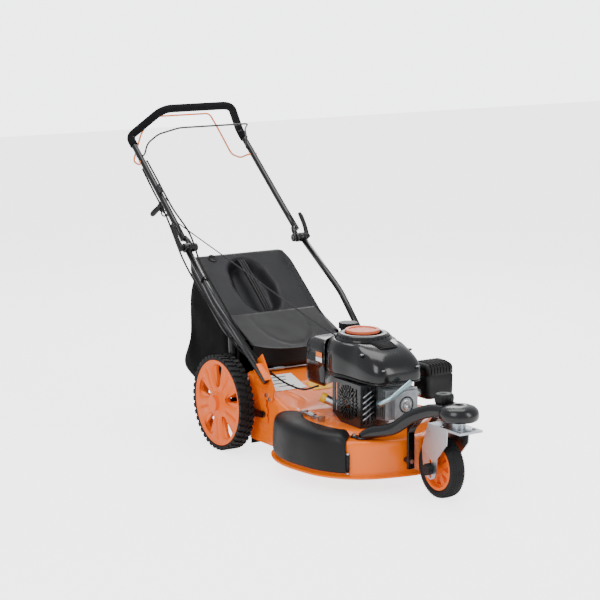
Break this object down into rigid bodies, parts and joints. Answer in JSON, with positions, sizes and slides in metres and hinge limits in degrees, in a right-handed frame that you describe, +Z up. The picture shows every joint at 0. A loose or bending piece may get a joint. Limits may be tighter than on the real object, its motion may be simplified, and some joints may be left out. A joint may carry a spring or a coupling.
{
  "type": "push lawn mower",
  "caption": "Self-propelled petrol rotary mower with a steel deck, geared rear wheels, a swivelling front wheel, a rear grass bag and a folding handle.",
  "frame": {"origin": "on the ground under the middle of the machine", "axes": "+X forwards towards the front caster, +Y to the left, +Z up"},
  "size_m": [1.6706, 0.576, 1.0264],
  "materials": {
    "orange_paint": "gloss powder coat",
    "black_paint": "gloss powder coat",
    "black_plastic": "moulded, lightly textured",
    "cowl_plastic": "moulded, satin gloss",
    "lid_plastic": "moulded, grained",
    "orange_plastic": "moulded",
    "coral_plastic": "moulded",
    "yellow_plastic": "moulded",
    "bag_fabric": "woven polyester",
    "tyre_rubber": "moulded tread",
    "rubber": "moulded",
    "foam": "closed-cell foam",
    "cast_aluminium": "sand cast",
    "zinc_steel": "zinc plated",
    "bare_steel": "turned",
    "orange_rod": "powder coat",
    "filter_foam": "open-cell foam"
  },
  "bodies": {
    "chassis": {"deck_shell": "orange_paint", "rods_and_bolts": "zinc_steel", "belt_cover": "black_plastic", "handle_brackets": "orange_paint", "engine_flange": "cast_aluminium", "crankcase": "cast_aluminium", "cylinder_head": "cast_aluminium", "spark_plug": "zinc_steel", "muffler": "bare_steel", "muffler_guard": "black_paint", "blower_housing": "cowl_plastic", "starter_disc": "coral_plastic", "fuel_tank": "cowl_plastic", "air_filter_box": "black_plastic", "filter_element": "filter_foam", "carburettor": "cast_aluminium", "oil_filler": "zinc_steel", "drive_belt": "rubber", "gearbox": "cast_aluminium", "height_quadrant": "orange_paint", "front_arm": "black_paint", "lower_handles": "black_paint", "starter_rope": "rubber", "control_cables": "rubber"},
    "skirt": {"trailing_skirt": "rubber"},
    "crank_train": {"crankshaft": "bare_steel", "flywheel": "bare_steel", "drive_pulley": "bare_steel", "blade": "bare_steel", "blade_bolt": "bare_steel"},
    "piston": {"piston": "cast_aluminium"},
    "recoil_pulley": {"recoil_pulley": "black_plastic"},
    "axle_carrier": {"axle_arms": "black_paint", "lift_lever": "black_paint"},
    "wheel_left": {"rear_tyre_left": "tyre_rubber", "rear_rim_left": "orange_plastic"},
    "wheel_right": {"rear_tyre_right": "tyre_rubber", "rear_rim_right": "orange_plastic"},
    "pinion_left": {"pinion_left": "bare_steel"},
    "pinion_right": {"pinion_right": "bare_steel"},
    "drive_shaft": {"drive_shaft": "bare_steel"},
    "input_pulley": {"input_pulley": "bare_steel"},
    "caster": {"caster_fork": "zinc_steel", "front_axle": "black_plastic"},
    "front_wheel": {"front_tyre": "tyre_rubber", "front_rim": "orange_plastic"},
    "caster_lock": {"lock_knob": "black_plastic"},
    "side_cover": {"side_cover": "black_plastic"},
    "rear_flap": {"rear_flap": "black_plastic"},
    "grass_bag": {"bag_body": "bag_fabric", "bag_lid": "lid_plastic"},
    "handle": {"upper_handle": "black_paint", "foam_grip": "foam"},
    "clamp_lever_left": {"clamp_lever_left": "black_plastic"},
    "clamp_lever_right": {"clamp_lever_right": "black_plastic"},
    "brake_bail": {"brake_bail": "black_paint"},
    "drive_bail": {"drive_bail": "orange_rod"},
    "starter_grip": {"starter_grip": "black_plastic"},
    "fuel_cap": {"fuel_cap": "black_plastic"},
    "dipstick": {"dipstick": "yellow_plastic"}
  },
  "joints": [
    {"name": "crankshaft_spin", "type": "hinge", "parent": "chassis", "child": "crank_train", "pos_m": [0.29034, 0, 0.165], "axis": [0, 0, 1], "continuous": true},
    {"name": "piston_stroke", "type": "slide", "parent": "chassis", "child": "piston", "axis": [1, 0, 0], "range_m": [-0.052, 0]},
    {"name": "skirt_swing", "type": "hinge", "parent": "chassis", "child": "skirt", "pos_m": [-0.05666, 0, 0.088], "axis": [0, 1, 0], "range_deg": [0, 35]},
    {"name": "height_adjust", "type": "hinge", "parent": "chassis", "child": "axle_carrier", "pos_m": [-0.09166, 0, 0.127], "axis": [0, -1, 0], "range_deg": [0, 70]},
    {"name": "left_wheel_spin", "type": "hinge", "parent": "axle_carrier", "child": "wheel_left", "pos_m": [-0.12466, 0, 0.15], "axis": [0, 1, 0], "continuous": true},
    {"name": "right_wheel_spin", "type": "hinge", "parent": "axle_carrier", "child": "wheel_right", "pos_m": [-0.12466, 0, 0.15], "axis": [0, 1, 0], "continuous": true},
    {"name": "left_pinion_spin", "type": "hinge", "parent": "axle_carrier", "child": "pinion_left", "pos_m": [-0.09166, 0, 0.127], "axis": [0, 1, 0], "continuous": true},
    {"name": "right_pinion_spin", "type": "hinge", "parent": "axle_carrier", "child": "pinion_right", "pos_m": [-0.09166, 0, 0.127], "axis": [0, 1, 0], "continuous": true},
    {"name": "drive_shaft_spin", "type": "hinge", "parent": "chassis", "child": "drive_shaft", "pos_m": [-0.09166, 0, 0.127], "axis": [0, 1, 0], "continuous": true},
    {"name": "input_pulley_spin", "type": "hinge", "parent": "chassis", "child": "input_pulley", "pos_m": [-0.01466, -0.136, 0.14], "axis": [0, 0, 1], "continuous": true},
    {"name": "caster_swivel", "type": "hinge", "parent": "chassis", "child": "caster", "pos_m": [0.77534, 0, 0.23], "axis": [0, 0, 1], "continuous": true},
    {"name": "front_wheel_spin", "type": "hinge", "parent": "caster", "child": "front_wheel", "pos_m": [0.69634, 0, 0.09], "axis": [0, 1, 0], "continuous": true},
    {"name": "caster_lock_pull", "type": "slide", "parent": "chassis", "child": "caster_lock", "axis": [0, 0, 1], "range_m": [0, 0.012], "stiffness_N_per_m": 300, "springref_m": -0.01},
    {"name": "side_cover_lift", "type": "hinge", "parent": "chassis", "child": "side_cover", "pos_m": [0.26534, -0.166, 0.176], "axis": [-1, 0, 0], "range_deg": [0, 75], "stiffness_Nm_per_rad": 0.8, "springref_deg": -28.65},
    {"name": "rear_flap_lift", "type": "hinge", "parent": "chassis", "child": "rear_flap", "pos_m": [-0.06266, 0, 0.25], "axis": [0, 1, 0], "range_deg": [0, 55], "stiffness_Nm_per_rad": 0.8, "springref_deg": -28.65},
    {"name": "bag_lift_off", "type": "slide", "parent": "chassis", "child": "grass_bag", "axis": [-0.9397, 0, 0.3419], "range_m": [0, 0.45]},
    {"name": "handle_fold", "type": "hinge", "parent": "chassis", "child": "handle", "pos_m": [-0.40266, 0, 0.597], "axis": [0, 1, 0], "range_deg": [0, 135], "deforming": ["starter_rope", "control_cables"]},
    {"name": "left_clamp_open", "type": "hinge", "parent": "handle", "child": "clamp_lever_left", "pos_m": [-0.40266, 0.238, 0.597], "axis": [-0.8083, 0, -0.5888], "range_deg": [0, 100]},
    {"name": "right_clamp_open", "type": "hinge", "parent": "handle", "child": "clamp_lever_right", "pos_m": [-0.40266, -0.238, 0.597], "axis": [0.8083, 0, 0.5888], "range_deg": [0, 100]},
    {"name": "brake_bail_pull", "type": "hinge", "parent": "handle", "child": "brake_bail", "pos_m": [-0.72426, 0, 0.85929], "axis": [0, -1, 0], "range_deg": [0, 36], "stiffness_Nm_per_rad": 1, "springref_deg": -45.84},
    {"name": "drive_bail_pull", "type": "hinge", "parent": "handle", "child": "drive_bail", "pos_m": [-0.70566, 0, 0.84412], "axis": [0, 1, 0], "range_deg": [0, 30], "stiffness_Nm_per_rad": 1, "springref_deg": -45.84},
    {"name": "starter_pull", "type": "slide", "parent": "handle", "child": "starter_grip", "axis": [-0.9317, 0.1503, 0.3306], "range_m": [0, 0.6], "stiffness_N_per_m": 15, "springref_m": -0.3},
    {"name": "recoil_spin", "type": "hinge", "parent": "chassis", "child": "recoil_pulley", "pos_m": [0.29034, 0, 0.383], "axis": [0, 0, 1], "range_deg": [0, 760]},
    {"name": "fuel_cap_turn", "type": "hinge", "parent": "chassis", "child": "fuel_cap", "pos_m": [0.14734, 0.04, 0.4], "axis": [0, 0, 1], "range_deg": [0, 90]},
    {"name": "dipstick_turn", "type": "hinge", "parent": "chassis", "child": "dipstick", "pos_m": [0.27934, -0.074, 0.196], "axis": [-0.6749, -0.6327, 0.3796], "range_deg": [0, 90]}
  ],
  "couplings": [
    {"joint": "left_pinion_spin", "follows": "left_wheel_spin", "ratio": 4.2857},
    {"joint": "right_pinion_spin", "follows": "right_wheel_spin", "ratio": 4.2857},
    {"joint": "recoil_spin", "follows": "starter_pull", "rad_per_m": 20.408}
  ]
}
